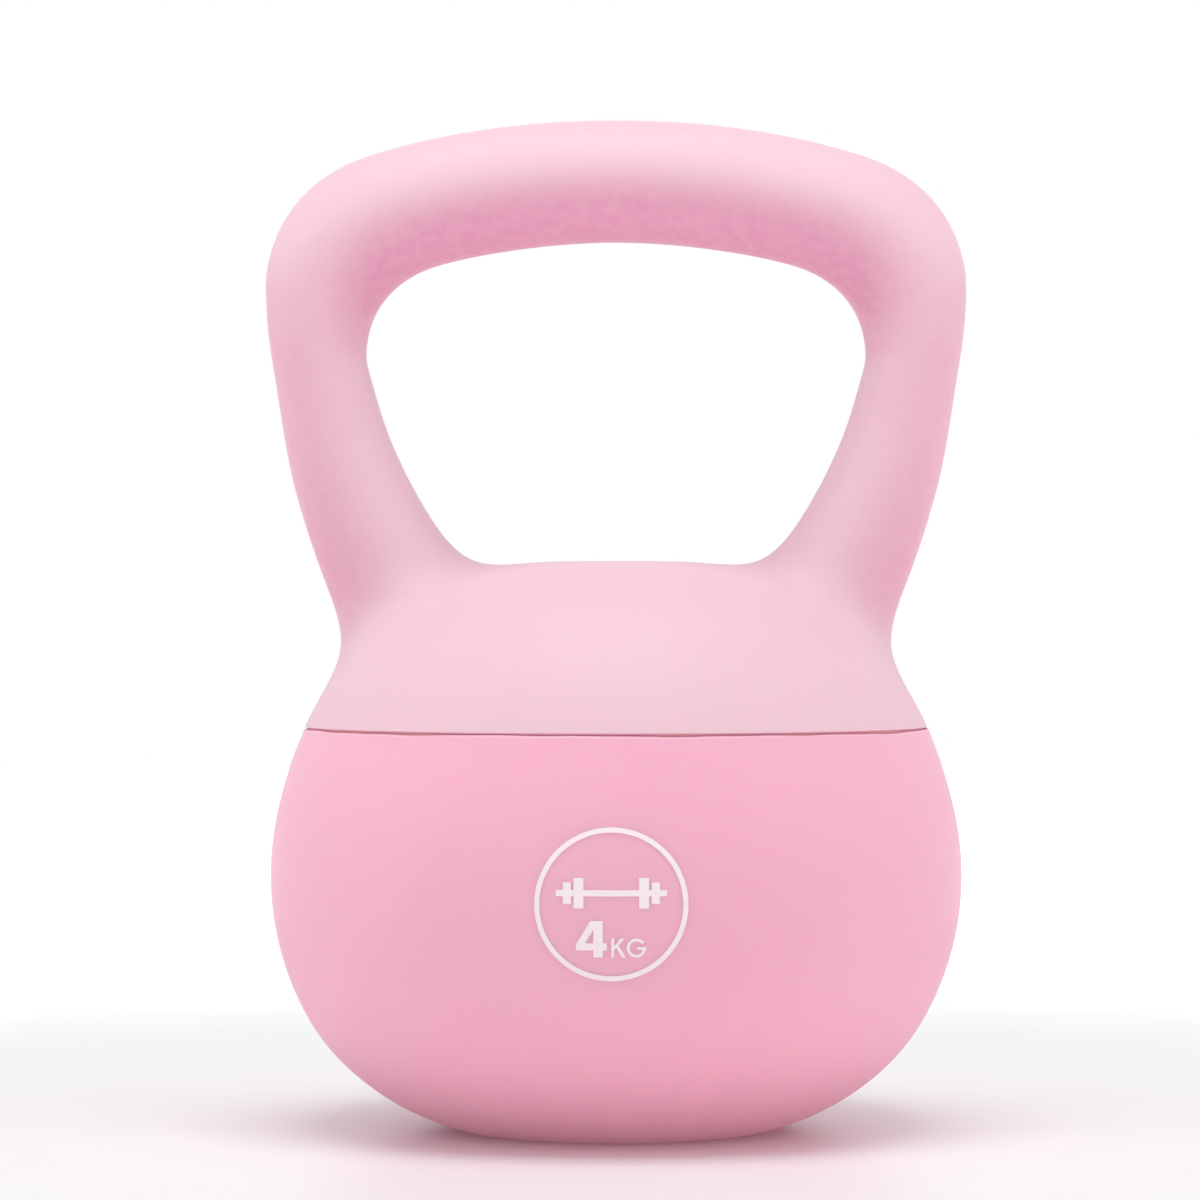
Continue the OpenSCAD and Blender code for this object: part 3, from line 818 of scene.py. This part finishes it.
def studio_world():
    """The room lights the object softly; behind it the backdrop is blown out to white."""
    world = bpy.data.worlds.new("studio")
    world.use_nodes = True
    nodes, link = world.node_tree.nodes, world.node_tree.links.new
    nodes.clear()
    room = nodes.new("ShaderNodeBackground")
    backdrop = nodes.new("ShaderNodeBackground")
    for background, strength in ((room, ROOM_LIGHT), (backdrop, BACKDROP)):
        background.inputs["Color"].default_value = (1, 1, 1, 1)
        background.inputs["Strength"].default_value = strength
    ray = nodes.new("ShaderNodeLightPath")
    either = nodes.new("ShaderNodeMath")
    either.operation = "MAXIMUM"
    link(ray.outputs["Is Camera Ray"], either.inputs[0])
    link(ray.outputs["Is Glossy Ray"], either.inputs[1])
    choose = nodes.new("ShaderNodeMixShader")
    link(either.outputs[0], choose.inputs[0])
    link(room.outputs[0], choose.inputs[1])
    link(backdrop.outputs[0], choose.inputs[2])
    link(choose.outputs[0], nodes.new("ShaderNodeOutputWorld").inputs["Surface"])
    bpy.context.scene.world = world


# The camera stands level in front of the object. All in metres; the view's width is
# measured at the object, and the sensor's is in millimetres.
DISTANCE, EYE_HEIGHT, ASIDE = 1.2, 0.12575, -0.00382
VIEW_WIDTH = 0.28656
SENSOR_WIDTH = 36.0
NEAREST, FARTHEST = 0.05, 20.0


def studio_camera():
    data = bpy.data.cameras.new("camera")
    data.sensor_width = SENSOR_WIDTH
    data.lens = SENSOR_WIDTH * DISTANCE / VIEW_WIDTH
    data.clip_start, data.clip_end = NEAREST, FARTHEST
    camera = bpy.data.objects.new("camera", data)
    camera.location = (ASIDE, -DISTANCE, EYE_HEIGHT)
    camera.rotation_euler = (math.pi / 2, 0, 0)
    bpy.context.scene.collection.objects.link(camera)
    bpy.context.scene.camera = camera


floor = studio_floor()
object_only = object_collection(floor)
soft_light("key", (0, -0.2, 1.25), (0, 0, 0.1), 0.8, 0.6, 7.7)
soft_light("left", (-1.2, -0.1, 0.6), (0, 0, 0.12), 0.9, 1.1, 1.2, only=object_only)
soft_light("front_low", (0, -1.1, -0.3), (0, 0, 0.08), 1.6, 0.6, 2.3, only=object_only)
soft_light("left_low", (-1.0, -0.1, -0.4), (0, 0, 0.08), 0.9, 0.9, 1.9, only=object_only)
soft_light("right_low", (1.0, -0.1, -0.4), (0, 0, 0.08), 0.9, 0.9, 2.3, only=object_only)
studio_world()
studio_camera()
bpy.context.scene.view_settings.view_transform = "Standard"
